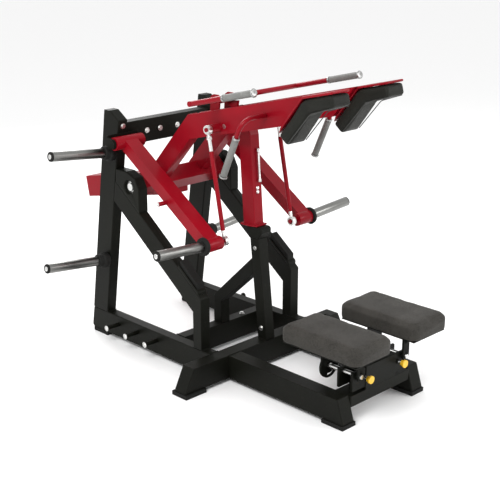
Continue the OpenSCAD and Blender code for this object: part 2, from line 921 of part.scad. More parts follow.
// The sector plate's arc slot lets the pin stay in while the pad swings, and stops the pad at both ends.
module arc_slot(side) {
    reach = norm([pad_pivot_x - pin_x, pad_pivot_z - pin_z]);
    spare = asin((pin_r + 1) / reach);
    start = atan2(pin_z - pad_pivot_z, pin_x - pad_pivot_x) - spare;
    stop = start + pad_swing + 2 * spare;
    mirror([side < 0 ? 1 : 0, 0, 0])
        translate([pad_pivot_x, rear_lug_y + 13, pad_pivot_z])
        rotate([90, 0, 0])
        linear_extrude(height = 14)
        intersection() {
            difference() {
                circle(r = reach + pin_r + 0.4);
                circle(r = reach - pin_r - 0.4);
            }
            polygon([
                [0, 0],
                [100 * cos(start), 100 * sin(start)],
                [100 * cos((start + stop) / 2), 100 * sin((start + stop) / 2)],
                [100 * cos(stop), 100 * sin(stop)]
            ]);
        }
}

module pad_tray(side) {
    color(FRAME_BLACK) {
        translate([side * foot_pad_x - foot_pad_w / 2 + 18, foot_pad_front_y + 20, foot_pad_bottom - 6])
            cube([foot_pad_w - 36, foot_pad_l - 40, 6]);
        difference() {
            lug(side, rear_lug_y, 12, 52, rear_lug_r);
            arc_slot(side);
        }
        lug(side, front_lug_y, 12, 22, 22);
    }
    color(STEEL)
        translate([side * pad_pivot_x, front_lug_y, 300]) rotate([90, 0, 0]) bolt_head(11, 7);
}
module pad_tray_left() { pad_tray(-1); }
module pad_tray_right() { pad_tray(1); }

module pull_pin(side) {
    color(STEEL) bar_y(side * pin_x, front_lug_y - 8, rear_lug_y + 14, pin_z, pin_r);
}
module pull_pin_left() { pull_pin(-1); }
module pull_pin_right() { pull_pin(1); }

module pull_knob(side) {
    y = front_lug_y - 8;
    color(KNOB_YELLOW) {
        bar_y(side * pin_x, y, y - 12, pin_z, 14);
        bar_y(side * pin_x, y - 12, y - 22, pin_z, 19);
    }
}
module pull_knob_left() { pull_knob(-1); }
module pull_knob_right() { pull_knob(1); }

uprights();
side_rails();
main_cross_beam();
forward_rails();
front_cross_tube();
top_cross_tube();
rear_cross_tube();
braces();
centre_post();
centre_brace();
post_saddle();
bearing_housings();
pivot_bearings();
bumper_brackets();
bumper_strips();
rubber_feet();
storage_horns();
storage_trim();
band_pegs();
hub_axles();
pedestal();
pad_shafts();
pin_housings();
frame_bolts();
pivot_beam();
arm_shafts();
arm_leg_left();
arm_leg_right();
forearm_left();
forearm_right();
tail_beam();
arm_tie();
shoulder_pad_left();
shoulder_pad_right();
pad_plates();
grip_rods();
hand_grips();
lever_mount();
weight_arm_left();
weight_arm_right();
weight_horn_left();
weight_horn_right();
horn_trim_left();
horn_trim_right();
link_left();
link_right();
link_ends_left();
link_ends_right();
lever_bar();
lever_handles();
lever_grips();
prop_strut();
foot_pad_left();
foot_pad_right();
pad_tray_left();
pad_tray_right();
pull_pin_left();
pull_pin_right();
pull_knob_left();
pull_knob_right();
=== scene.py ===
"""Plate-loaded standing leg press: finishes, pads, grips, horn caps, welds, floor, light and camera.

Lengths are metres in the CAD frame: +Z up, the user stands at -Y, the tail points to +Y.
"""
import json
import math

import bpy
import numpy as np
from mathutils import Matrix, Vector


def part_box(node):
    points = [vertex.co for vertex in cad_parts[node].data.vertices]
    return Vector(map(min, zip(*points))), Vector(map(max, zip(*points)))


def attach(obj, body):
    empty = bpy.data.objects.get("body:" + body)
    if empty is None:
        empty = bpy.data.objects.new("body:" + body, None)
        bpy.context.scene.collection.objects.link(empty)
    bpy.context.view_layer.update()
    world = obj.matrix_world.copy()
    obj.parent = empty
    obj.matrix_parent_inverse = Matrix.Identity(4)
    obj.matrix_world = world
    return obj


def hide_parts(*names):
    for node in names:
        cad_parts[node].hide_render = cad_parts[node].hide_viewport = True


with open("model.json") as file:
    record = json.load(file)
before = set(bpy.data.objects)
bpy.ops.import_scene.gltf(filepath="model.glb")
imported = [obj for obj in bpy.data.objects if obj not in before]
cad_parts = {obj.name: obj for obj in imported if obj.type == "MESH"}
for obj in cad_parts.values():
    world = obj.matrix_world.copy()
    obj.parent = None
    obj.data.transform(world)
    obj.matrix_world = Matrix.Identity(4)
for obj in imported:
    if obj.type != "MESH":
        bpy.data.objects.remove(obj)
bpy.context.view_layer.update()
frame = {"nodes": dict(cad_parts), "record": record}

ARM_SLOPE = math.radians(13.8)
KNEE_Y, KNEE_Z = 0.119, 1.272        # the arm's rear top corner
UPRIGHT_X = 0.355                    # outer face of an upright
RAIL_TOP = 0.140


def upright_rear(z):
    """Y of the leaning uprights' rear face at height z."""
    return 0.742 - (z - 0.020) * 0.149


# ---------------------------------------------------------------- shader maths

class Value:
    """A socket that takes part in sums: each operator adds one Math node."""

    def __init__(self, finish, socket):
        self.finish, self.socket = finish, socket

    def _maths(self, operation, first, second=None, third=None):
        node = self.finish.tree.nodes.new("ShaderNodeMath")
        node.operation = operation
        for place, term in enumerate((first, second, third)):
            if term is None:
                continue
            if isinstance(term, Value):
                self.finish.tree.links.new(term.socket, node.inputs[place])
            else:
                node.inputs[place].default_value = term
        return Value(self.finish, node.outputs[0])

    def __add__(self, other):
        return self._maths("ADD", self, other)

    __radd__ = __add__

    def __sub__(self, other):
        return self._maths("SUBTRACT", self, other)

    def __rsub__(self, other):
        return self._maths("SUBTRACT", other, self)

    def __mul__(self, other):
        return self._maths("MULTIPLY", self, other)

    __rmul__ = __mul__

    def over(self, low, high):
        """0 below low, 1 above high, straight between."""
        node = self.finish.add("ShaderNodeMapRange", {}, {"Value": self, "From Min": low, "From Max": high})
        return Value(self.finish, node.outputs[0])


class Finish:
    """One material: a Principled surface and the nodes that feed it."""

    def __init__(self, name, **constants):
        self.material = bpy.data.materials.new(name)
        self.material.use_nodes = True
        self.tree = self.material.node_tree
        self.surface = self.tree.nodes["Principled BSDF"]
        self.spot = self.add("ShaderNodeTexCoord", {}, {}).outputs["Object"]
        for name_, value in constants.items():
            self.surface.inputs[name_.replace("_", " ")].default_value = value

    def add(self, kind, settings, inputs):
        """Adds a node: settings are its properties, inputs its sockets' values or links."""
        node = self.tree.nodes.new(kind)
        for key, value in settings.items():
            setattr(node, key, value)
        for key, value in inputs.items():
            socket = node.inputs[key]
            if isinstance(value, Value):
                value = value.socket
            if isinstance(value, bpy.types.NodeSocket):
                self.tree.links.new(value, socket)
            else:
                socket.default_value = value
        return node

    def place(self, scale=(1, 1, 1)):
        return self.add("ShaderNodeMapping", {}, {"Vector": self.spot, "Scale": scale}).outputs[0]

    def noise(self, scale, detail=3.0, stretch=(1, 1, 1), roughness=0.55):
        node = self.add("ShaderNodeTexNoise", {}, {
            "Vector": self.place(stretch), "Scale": scale, "Detail": detail, "Roughness": roughness})
        return Value(self, node.outputs[0])

    def cells(self, scale, feature="F1", stretch=(1, 1, 1)):
        node = self.add("ShaderNodeTexVoronoi", {"feature": feature}, {
            "Vector": self.place(stretch), "Scale": scale})
        return Value(self, node.outputs["Distance"])

    def blend(self, amount, first, second):
        node = self.add("ShaderNodeMix", {"data_type": "RGBA"}, {0: amount, 6: first, 7: second})
        return node.outputs[2]

    def feed(self, socket, value):
        if isinstance(value, Value):
            value = value.socket
        self.tree.links.new(value, self.surface.inputs[socket])
        return self

    def relief(self, height, depth, strength=1.0):
        """height, 0 to 1, raises the surface by up to depth metres."""
        bump = self.add("ShaderNodeBump", {}, {"Height": height, "Distance": depth, "Strength": strength})
        return self.feed("Normal", bump.outputs[0])


def shade(rgb, factor):
    return tuple(c * factor for c in rgb) + (1.0,)


def powder_coat():
    """Black powder coat with a faint olive cast: orange peel, dust in soft patches, small rubbed spots."""
    base = (0.0060, 0.0064, 0.0042)
    f = Finish("powder_coat_black", Specular_IOR_Level=0.16)
    peel = f.noise(420, 2.0)
    patch = f.noise(5.5, 5.0)
    speck = f.noise(160, 2.0).over(0.66, 0.72)
    colour = f.blend(patch.over(0.35, 0.75), shade(base, 0.85), shade(base, 1.35))
    colour = f.blend(speck * 0.35, colour, (0.050, 0.050, 0.044, 1))
    f.feed("Base Color", colour)
    f.feed("Roughness", 0.36 + patch * 0.16 + peel * 0.05)
    f.relief(peel, 0.00022, 0.55)
    return f.material


def gloss_red():
    """Deep red gloss lacquer: slight orange peel under a clear coat, with hairline handling marks."""
    base = (0.235, 0.002, 0.010)
    f = Finish("lacquer_red", Specular_IOR_Level=0.14, Coat_Roughness=0.10)
    peel = f.noise(230, 2.0)
    patch = f.noise(4.0, 4.0)
    hair = f.noise(40, 3.0, (1, 14, 14)).over(0.64, 0.70)
    colour = f.blend(patch.over(0.3, 0.8), shade(base, 0.86), shade(base, 1.18))
    f.feed("Base Color", f.blend(hair * 0.12, colour, (0.45, 0.05, 0.07, 1)))
    f.feed("Roughness", 0.30 + patch * 0.10 + hair * 0.12)
    f.feed("Coat Weight", 0.13 - hair * 0.08)
    f.relief(peel, 0.00025, 0.35)
    return f.material


def turned_steel(name, base, rough, stretch):
    """Ground steel bar: fine rings across the bar's length, with slide marks along it."""
    f = Finish(name, Metallic=1.0)
    rings = f.noise(9, 4.0, stretch)
    marks = f.noise(7, 5.0, (0.6, 9, 9))
    dull = f.noise(11, 4.0).over(0.45, 0.8)
    colour = f.blend(rings.over(0.3, 0.7), shade(base, 0.88), shade(base, 1.06))
    colour = f.blend(dull * 0.35, colour, shade(base, 0.62))
    f.feed("Base Color", colour)
    f.feed("Roughness", rough + rings * 0.12 + marks.over(0.55, 0.75) * 0.14)
    f.relief(rings, 0.00006, 0.5)
    return f.material


def zinc():
    """Bright zinc plating: a faint spangle and dulled patches."""
    f = Finish("zinc_plate", Metallic=1.0)
    spangle = f.cells(140)
    dull = f.noise(60, 3.0)
    f.feed("Base Color", f.blend(spangle.over(0.1, 0.8), (0.62, 0.62, 0.60, 1), (0.78, 0.78, 0.77, 1)))
    f.feed("Roughness", 0.20 + dull * 0.22)
    f.relief(dull, 0.00005, 0.4)
    return f.material


def moulded_rubber(name, base, grain=520, rough=0.62):
    """Moulded rubber: fine grain, grey bloom in patches, small scuffs."""
    f = Finish(name, IOR=1.45, Specular_IOR_Level=0.30)
    fine = f.noise(grain, 3.0)
    bloom = f.noise(16, 5.0).over(0.42, 0.78)
    scuff = f.noise(55, 4.0, (1, 3, 1)).over(0.63, 0.72)
    colour = f.blend(bloom * 0.5, shade(base, 0.9), shade(base, 1.5))
    f.feed("Base Color", f.blend(scuff * 0.3, colour, shade(base, 2.4)))
    f.feed("Roughness", rough + fine * 0.14 + scuff * 0.08)
    f.relief(fine, 0.0003, 0.6)
    return f.material


def grained_vinyl(name, base, cell, depth, rough, sheen):
    """Upholstery vinyl: a net of fine creases between pebbles, with painted shade darkening the creases, and
    worn, slightly shinier patches.
    """
    f = Finish(name, IOR=1.48, Specular_IOR_Level=0.22, Sheen_Weight=sheen)
    pebble = f.cells(cell)
    crease_and_painted_shade = f.cells(cell * 0.42, "DISTANCE_TO_EDGE").over(0.0, 0.16)
    wear = f.noise(9, 5.0).over(0.4, 0.75)
    height = crease_and_painted_shade * 0.7 + pebble * 0.3
    # painted shade: the colour darkens to 0.55 of the base along the creases
    colour = f.blend(crease_and_painted_shade, shade(base, 0.55), shade(base, 1.08))
    f.feed("Base Color", f.blend(wear * 0.45, colour, shade(base, 1.55)))
    f.feed("Roughness", rough - wear * 0.09 + (1 - crease_and_painted_shade) * 0.15)
    f.relief(height, depth, 0.7)
    return f.material


def stitched_thread():
    """Twisted thread: light and dark strands across a dark yarn."""
    f = Finish("seam_cord", Sheen_Weight=0.2)
    strand = f.noise(900, 2.0)
    f.feed("Base Color", f.blend(strand, (0.012, 0.013, 0.011, 1), (0.045, 0.047, 0.042, 1)))
    f.feed("Roughness", 0.55 + strand * 0.2)
    f.relief(strand, 0.0003, 0.7)
    return f.material


def knob_plastic():
    """Yellow moulded knob: satin gloss with fine handling haze."""
    f = Finish("knob_yellow", Coat_Roughness=0.12)
    haze = f.noise(80, 4.0)
    f.feed("Base Color", f.blend(haze.over(0.35, 0.75), (0.80, 0.47, 0.02, 1), (0.90, 0.58, 0.05, 1)))
    f.feed("Roughness", 0.26 + haze * 0.18)
    f.feed("Coat Weight", 0.35 - haze * 0.1)
    f.relief(haze, 0.0001, 0.4)
    return f.material


POWDER = powder_coat()
RED = gloss_red()
HORN_STEEL = turned_steel("horn_steel", (0.27, 0.27, 0.26), 0.27, (60, 1, 1))
ZINC = zinc()
RUBBER = moulded_rubber("rubber_black", (0.010, 0.010, 0.009))
GRIP_RUBBER = moulded_rubber("grip_rubber_grey", (0.185, 0.185, 0.178), 700, 0.42)
COLLAR = turned_steel("collar_aluminium", (0.40, 0.40, 0.395), 0.30, (8, 8, 8))
PAD_VINYL = grained_vinyl("shoulder_vinyl", (0.0110, 0.0115, 0.0085), 620, 0.0005, 0.46, 0.04)
FOOT_VINYL = grained_vinyl("foot_vinyl", (0.043, 0.040, 0.035), 330, 0.0011, 0.58, 0.04)
THREAD = stitched_thread()
KNOB = knob_plastic()


# ------------------------------------------------------------------- surfaces

def piece(name, points, faces, material, body, slot_name, smooth=True):
    """Makes a mesh of points and faces, gives it its finish and sets it riding on a body."""
    mesh = bpy.data.meshes.new(name)
    mesh.from_pydata(np.asarray(points, float).tolist(), [], faces)
    mesh.update()
    if smooth:
        mesh.polygons.foreach_set("use_smooth", np.ones(len(mesh.polygons), bool))
    thing = bpy.data.objects.new(name, mesh)
    bpy.context.scene.collection.objects.link(thing)
    mesh.materials.append(material)
    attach(thing, body)
    return thing


def grid_faces(rows, columns):
    """Quads of a rows x columns grid that closes on itself along its columns, with a fan at each end."""
    r, c = np.meshgrid(np.arange(rows - 1), np.arange(columns), indexing="ij")
    right = (c + 1) % columns
    low, high = r * columns, (r + 1) * columns
    quads = np.stack([low + c, low + right, high + right, high + c], -1).reshape(-1, 4)
    first = np.arange(columns)[::-1].tolist()
    last = (np.arange(columns) + (rows - 1) * columns).tolist()
    return quads.tolist() + [first, last]


def frame_along(a, b):
    """Three unit vectors: along a to b, and two square to it."""
    along = np.asarray(b, float) - np.asarray(a, float)
    along /= np.linalg.norm(along)
    side = np.cross(along, (0, 0, 1.0) if abs(along[2]) < 0.9 else (0, 1.0, 0))
    side /= np.linalg.norm(side)
    return along, side, np.cross(along, side)


def turned(a, b, profile, around=40):
    """Surface of revolution about the line a to b: profile rows are (distance from a, radius),
    and each row gives a ring a + t * along + r * (cos, sin) in the two square directions."""
    along, side, up = frame_along(a, b)
    t, r = np.asarray(profile, float).T
    angle = np.linspace(0, 2 * np.pi, around, endpoint=False)
    ring = np.cos(angle)[:, None] * side + np.sin(angle)[:, None] * up
    points = np.asarray(a) + t[:, None, None] * along + r[:, None, None] * ring
    return points.reshape(-1, 3), grid_faces(len(t), around)


def softened(profile, r=0.0012):
    """Replaces each corner of a (distance, radius) profile by two rings r away from it."""
    p = np.asarray(profile, float)
    back, ahead = p[:-2] - p[1:-1], p[2:] - p[1:-1]
    lb, la = np.linalg.norm(back, axis=1)[:, None], np.linalg.norm(ahead, axis=1)[:, None]
    before = p[1:-1] + back / lb * np.minimum(r, lb * 0.45)
    after = p[1:-1] + ahead / la * np.minimum(r, la * 0.45)
    middle = np.stack([before, after], 1).reshape(-1, 2)
    return np.vstack([p[:1], middle, p[-1:]])


def tube_along(path, radius, around=10, ripple=0.0, pitch=0.006):
    """A closed round tube whose middle follows path: each ring lies square to the path's direction.
    With ripple, the radius grows and shrinks by that share every pitch metres, like a weld bead."""
    path = np.asarray(path, float)
    run = np.gradient(path, axis=0)
    run /= np.linalg.norm(run, axis=1)[:, None]
    guide = np.array([0, 0, 1.0]) if abs(run[:, 2]).mean() < 0.8 else np.array([1.0, 0, 0])
    side = np.cross(run, guide)
    side /= np.linalg.norm(side, axis=1)[:, None]
    up = np.cross(run, side)
    walked = np.concatenate([[0], np.cumsum(np.linalg.norm(np.diff(path, axis=0), axis=1))])
    r = radius * (1 + ripple * np.cos(2 * np.pi * walked / pitch))
    r[[0, -1]] *= 0.55
    angle = np.linspace(0, 2 * np.pi, around, endpoint=False)
    ring = np.cos(angle)[None, :, None] * side[:, None] + np.sin(angle)[None, :, None] * up[:, None]
    points = path[:, None] + r[:, None, None] * ring
    return points.reshape(-1, 3), grid_faces(len(path), around)


def joined(parts):
    """Joins several (points, faces) into one."""
    points, faces, start = [], [], 0
    for p, f in parts:
        points.append(p)
        faces += [[i + start for i in face] for face in f]
        start += len(p)
    return np.vstack(points), faces


def mirrored(part):
    """The same surface on the other side of the mid plane, its faces turned back outwards."""
    points, faces = part
    return points * (-1, 1, 1), [f[::-1] for f in faces]


# ------------------------------------------------------------ CAD node finishes

FINISHES = {
    "frame_paint": POWDER, "arm_paint": RED, "steel": HORN_STEEL, "zinc": ZINC, "rubber": RUBBER,
    "grip": GRIP_RUBBER, "pad_vinyl": PAD_VINYL, "foot_vinyl": FOOT_VINYL, "knob": KNOB,
}
ROUND_NODES = {
    "band_pegs", "frame_bolts", "storage_horns", "storage_trim", "weight_horn_left", "weight_horn_right",
    "horn_trim_left", "horn_trim_right", "pull_knob_left", "pull_knob_right", "link_left", "link_right",
}
for row in frame["record"]["subparts"]:
    node = frame["nodes"][row["node"]]
    for place in range(max(1, len(node.material_slots))):
        if not node.material_slots:
            node.data.materials.append(FINISHES[row["material_slot"]])
        else:
            node.material_slots[place].material = FINISHES[row["material_slot"]]
    weld = node.modifiers.new("joined_corners", "WELD")
    weld.merge_threshold = 0.00002
    edge = node.modifiers.new("rounded_edges", "BEVEL")
    edge.limit_method = "ANGLE"
    edge.angle_limit = math.radians(40)
    tube = row["material_slot"] in ("frame_paint", "arm_paint") and row["node"] not in ROUND_NODES
    edge.width = 0.0055 if tube else 0.0012
    edge.segments = 3 if tube else 2
    edge.use_clamp_overlap = True


# ------------------------------------------------------------------------ pads

def rounded_section(half_a, half_b, corner, count):
    """Points round a rectangle with rounded corners, spaced evenly by angle of the corner arcs:
    each quarter is a corner centre plus corner * (cos, sin)."""
    quarter = np.linspace(0, np.pi / 2, count // 4)
    corner = min(corner, half_a, half_b)
    arcs = []
    for k, (sa, sb) in enumerate(((1, 1), (-1, 1), (-1, -1), (1, -1))):
        angle = quarter + k * np.pi / 2
        arcs.append(np.stack([sa * (half_a - corner) + corner * np.cos(angle),
                              sb * (half_b - corner) + corner * np.sin(angle)], 1))
    return np.vstack(arcs)


def foot_pad_form(centre, half_w, half_l, low, high):
    """Foot pad: a rounded rectangle carried from its flat base, up its side, over a sloping shoulder
    to a gently crowned top; ring k is inset by inset[k] and lies at height z[k]."""
    count = 96
    inset = [0.030, 0.006, 0.0015, 0.0, 0.0, 0.0008, 0.0035, 0.012, 0.0205, 0.0235, 0.028, 0.050, 0.080]
    share = [0.0, 0.0, 0.03, 0.09, 0.70, 0.735, 0.770, 0.862, 0.952, 0.972, 0.981, 0.990, 0.996]
    rings = []
    for i, h in zip(inset, share):
        outline = rounded_section(half_w - i, half_l - i, max(0.046 - i * 0.8, 0.006), count)
        rings.append(np.column_stack([outline, np.full(count, low + (high - low) * h)]))
    return np.concatenate(rings) + (centre[0], centre[1], 0), grid_faces(len(inset), count)


def shoulder_pad_form(x, half_w, spine, thick):
    """Shoulder pad: a rounded rectangle square to a bent middle line. The middle line is spine's corners
    joined by a smooth bend, and the section shrinks to a rounded nose at both ends."""
    spine = np.asarray(spine, float)
    legs = np.linalg.norm(np.diff(spine, axis=0), axis=1)
    walked = np.concatenate([[0], np.cumsum(legs)])
    s = np.linspace(0, walked[-1], 90)
    middle = np.stack([np.interp(s, walked, spine[:, k]) for k in (0, 1)], 1)
    kernel = np.ones(5) / 5
    padded_line = np.vstack([middle[:1] - (middle[1] - middle[0]) * np.arange(2, 0, -1)[:, None],
                             middle, middle[-1:] + (middle[-1] - middle[-2]) * np.arange(1, 3)[:, None]])
    middle = np.stack([np.convolve(padded_line[:, k], kernel, "valid") for k in (0, 1)], 1)
    run = np.gradient(middle, axis=0)
    run /= np.linalg.norm(run, axis=1)[:, None]
    across = np.stack([-run[:, 1], run[:, 0]], 1)
    depth = np.interp(s, walked, thick) / 2
    nose = 0.012
    end = np.minimum(s, walked[-1] - s)
    shrink = np.where(end < nose, nose - np.sqrt(np.maximum(nose**2 - (nose - end) ** 2, 0)), 0)
    rings = []
    for m, c, d, k in zip(middle, across, depth, shrink):
        section = rounded_section(half_w - k, d - k, 0.012 - k * 0.4, 80)
        rings.append(np.column_stack([x + section[:, 0], m + c * section[:, 1:]]))
    return np.concatenate(rings), grid_faces(len(rings), 80)


def stuffed(name, form, material, body, voxel, cap, node):
    """Swells a closed form as foam under a tight cover: Cloth with inner pressure on an even remesh,
    each point moved by no more than cap, then one subdivision. The other side is its mirror image."""
    def settle(thing, kind, **settings):
        modifier = thing.modifiers.new(kind.lower(), kind)
        for key, value in settings.items():
            setattr(modifier, key, value)
        bpy.context.view_layer.objects.active = thing
        bpy.ops.object.modifier_apply(modifier=modifier.name)

    mesh = bpy.data.meshes.new(name)
    mesh.from_pydata(form[0].tolist(), [], form[1])
    thing = bpy.data.objects.new(name, mesh)
    bpy.context.scene.collection.objects.link(thing)
    settle(thing, "REMESH", mode="VOXEL", voxel_size=voxel)
    mesh = thing.data
    count = len(mesh.vertices)
    rest = np.empty(count * 3)
    mesh.vertices.foreach_get("co", rest)
    cloth = thing.modifiers.new("cover", "CLOTH")
    cloth.settings.use_pressure = True
    cloth.settings.uniform_pressure_force = 4.0
    cloth.settings.effector_weights.gravity = 0.0
    cloth.settings.tension_stiffness = 25
    cloth.settings.bending_stiffness = 6
    cloth.point_cache.frame_start, cloth.point_cache.frame_end = 1, 20
    for step in range(1, 21):
        bpy.context.scene.frame_set(step)
    shape = thing.evaluated_get(bpy.context.evaluated_depsgraph_get())
    moved = np.empty(count * 3)
    shape.data.vertices.foreach_get("co", moved)
    thing.modifiers.remove(cloth)
    bpy.context.scene.frame_set(1)
    shift = (moved - rest).reshape(-1, 3)
    length = np.linalg.norm(shift, axis=1)[:, None]
    shift *= np.minimum(1.0, cap / np.maximum(length, 1e-9))
    mesh.vertices.foreach_set("co", (rest.reshape(-1, 3) + shift).ravel())
    mesh.update()
    settle(thing, "SMOOTH", factor=0.5, iterations=3)
    settle(thing, "SUBSURF", levels=1, render_levels=1)
    mesh = thing.data
    mesh.polygons.foreach_set("use_smooth", np.ones(len(mesh.polygons), bool))
    mesh.materials.clear()
    mesh.materials.append(material)
    twin_mesh = mesh.copy()
    twin_mesh.transform(Matrix.Diagonal((-1, 1, 1, 1)))
    twin_mesh.flip_normals()
    twin = bpy.data.objects.new(name + "_left", twin_mesh)
    bpy.context.scene.collection.objects.link(twin)
    thing.name = name + "_right"
    for item, side in ((thing, "right"), (twin, "left")):
        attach(item, body.format(side=side))
        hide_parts(node.format(side=side))
    return thing


def seam_lines(x, reach, corners):
    """Piping on a shoulder pad's lower edges: a thin cord through the corners, with each corner rounded."""
    corners = np.asarray(corners, float)
    walked = np.concatenate([[0], np.cumsum(np.linalg.norm(np.diff(corners, axis=0), axis=1))])
    s = np.linspace(0, walked[-1], 120)
    line = np.stack([np.interp(s, walked, corners[:, k]) for k in (0, 1)], 1)
    line[4:-4] = np.stack([np.convolve(line[:, k], np.ones(9) / 9, "valid") for k in (0, 1)], 1)
    cords = [tube_along(np.column_stack([np.full(120, x + side * reach), line]), 0.0022, 8)
             for side in (-1, 1)]
    for side, turn in (("right", lambda part: part), ("left", mirrored)):
        piece(f"shoulder_piping_{side}", *turn(joined(cords)), THREAD, "press_arm", "pad_vinyl")


def pads():
    low, high = (Vector(c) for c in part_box("foot_pad_right"))
    middle = (low + high) / 2
    slim = 0.0035
    half_w, half_l = (high.x - low.x) / 2 - slim, (high.y - low.y) / 2 - slim
    form = foot_pad_form(middle, half_w, half_l, low.z + 0.001, high.z - slim)
    stuffed("foot_cushion", form, FOOT_VINYL, "foot_pad_{side}", 0.006, 0.004,
            "foot_pad_{side}")

    low, high = (Vector(c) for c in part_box("shoulder_pad_right"))
    rise = math.tan(ARM_SLOPE)
    back_y, front_y = -0.714, low.y + 0.003
    run_top = high.z - (back_y - low.y - 0.010) * rise + 0.0015
    spine = [(front_y, run_top - 0.0325 + (back_y - front_y) * rise), (back_y - 0.0195, run_top - 0.0305),
             (back_y + 0.1135, run_top - 0.2030)]
    x, half_w = (low.x + high.x) / 2, (high.x - low.x) / 2 - slim
    form = shoulder_pad_form(x, half_w, spine, [0.056, 0.058, 0.064])
    under = [(front_y + 0.010, spine[0][1] - 0.031), (back_y - 0.047, spine[1][1] - 0.0315),
             (spine[2][0] - 0.0335, spine[2][1] - 0.006)]
    seam_lines(x, half_w - 0.0015, under)
    stuffed("shoulder_cushion", form, PAD_VINYL, "press_arm", 0.005, 0.004,
            "shoulder_pad_{side}")


pads()


# ------------------------------------------------------------------ hand grips

def sleeve(a, b, length, radius, rib=0.0007, pitch=0.0075, around=40):
    """Ribbed sleeve: the radius is a constant plus rib * |sin| of the distance along, rounded at both ends."""
    t = np.arange(0.003, length - 0.003, pitch / 6)
    r = radius + rib * np.abs(np.sin(np.pi * t / pitch))
    profile = np.vstack([
        [(0, radius - 0.006), (0, radius - 0.002), (0.0012, radius)],
        np.column_stack([t, r]),
        [(length - 0.0012, radius), (length, radius - 0.002), (length, radius - 0.006)]])
    return turned(a, b, profile, around)


def grips():
    """Each grip is a ribbed rubber sleeve between an aluminium collar and an aluminium end cap."""
    lean = math.atan2(88, 195)
    arm_top = KNEE_Z + (KNEE_Y + 0.420) * math.tan(ARM_SLOPE)
    hand_root = np.array([0.321, -0.420, arm_top - 0.062])
    hand_dir = np.array([0, math.sin(lean), -math.cos(lean)])
    bar_root = np.array([0.362, -0.119, 1.382])
    bar_dir = np.array([0, -math.cos(ARM_SLOPE), math.sin(ARM_SLOPE)])
    for where, node, body, root, line, start, length in (
            ("hand", "hand_grips", "press_arm", hand_root, hand_dir, 0.108, 0.206),
            ("lever", "lever_grips", "release_lever", bar_root, bar_dir, 0.235, 0.190)):
        a, b = root + line * start, root + line * (start + length)
        rubber = sleeve(a, b, length - 0.004, 0.0158)
        collar = turned(a - line * 0.012, b,
                        softened([(0, 0.0128), (0, 0.0175), (0.011, 0.0175), (0.011, 0.0128)]))
        cap_rows = [(0, 0.010), (0, 0.0200), (0.006, 0.0205), (0.0095, 0.0165), (0.0100, 0.0)]
        cap = turned(b - line * 0.003, b + line * 0.02, softened(cap_rows, 0.001))
        for side, turn in (("right", lambda part: part), ("left", mirrored)):
            thing = piece(f"{where}_grip_sleeve_{side}", *turn(rubber), GRIP_RUBBER, body, "grip")
            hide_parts(node)
            piece(f"{where}_grip_collars_{side}", *turn(joined([collar, cap])), COLLAR, body, "zinc")


grips()


# ---------------------------------------------------- horn collars and end caps

def horn_fittings():
    """Stepped rubber collar at each horn's root, and a rubber cap with a steel centre at its free end."""
    horns = [("storage_" + level, "frame", (UPRIGHT_X, upright_rear(z) - 0.098, z), math.radians(6),
              0.008, 0.310 + 0.078, 0.042, 0.034) for level, z in (("upper", 1.050), ("lower", 0.448))]
    horns.append(("load", "weight_arm_{side}", (0.370, -0.211, 0.705), math.radians(4),
                  0.003, 0.300, 0.046, 0.0))
    for where, body, root, lift, start, free, wide, neck in horns:
        root = np.array(root)
        line = np.array([math.cos(lift), 0, math.sin(lift)])
        end = root + line
        if neck:
            profile = [(start, 0.0245), (start, wide), (start + 0.034, wide), (start + 0.036, neck),
                       (start + 0.062, neck), (start + 0.064, 0.0245)]
        else:
            profile = [(start, 0.0245), (start, wide), (start + 0.018, wide - 0.003), (start + 0.019, 0.0245)]
        collar = turned(root, end, softened(profile, 0.003), 56)
        cap_rows = [(free - 0.002, 0.0240), (free - 0.002, 0.0250), (free + 0.004, 0.0250),
                    (free + 0.008, 0.0205), (free + 0.0075, 0.0)]
        cap = turned(root, end, softened(cap_rows, 0.001), 56)
        disc_rows = [(free + 0.0068, 0.013), (free + 0.0092, 0.0125), (free + 0.0095, 0.0)]
        disc = turned(root, end, softened(disc_rows, 0.0008), 40)
        for side, turn in (("right", lambda part: part), ("left", mirrored)):
            on = body.format(side=side)
            node = "storage_trim" if body == "frame" else f"horn_trim_{side}"
            thing = piece(f"{where}_horn_rubber_{side}", *turn(joined([collar, cap])), RUBBER, on, "rubber")
            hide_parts(node)
            piece(f"{where}_horn_disc_{side}", *turn(disc), ZINC, on, "zinc")


horn_fittings()


# ----------------------------------------------------------------------- welds

def bead(name, lines, material, body, radius=0.004):
    """Weld beads along straight lines, both sides of the machine where x isn't 0."""
    parts = []
    for a, b in lines:
        a, b = np.asarray(a, float), np.asarray(b, float)
        count = max(8, int(np.linalg.norm(b - a) / 0.0015))
        part = tube_along(a + (b - a) * np.linspace(0, 1, count)[:, None], radius, 8, 0.16)
        parts.append(part)
        if max(abs(a[0]), abs(b[0])) > 1e-6:
            parts.append(mirrored(part))
    return piece(name, *joined(parts), material, body, None)


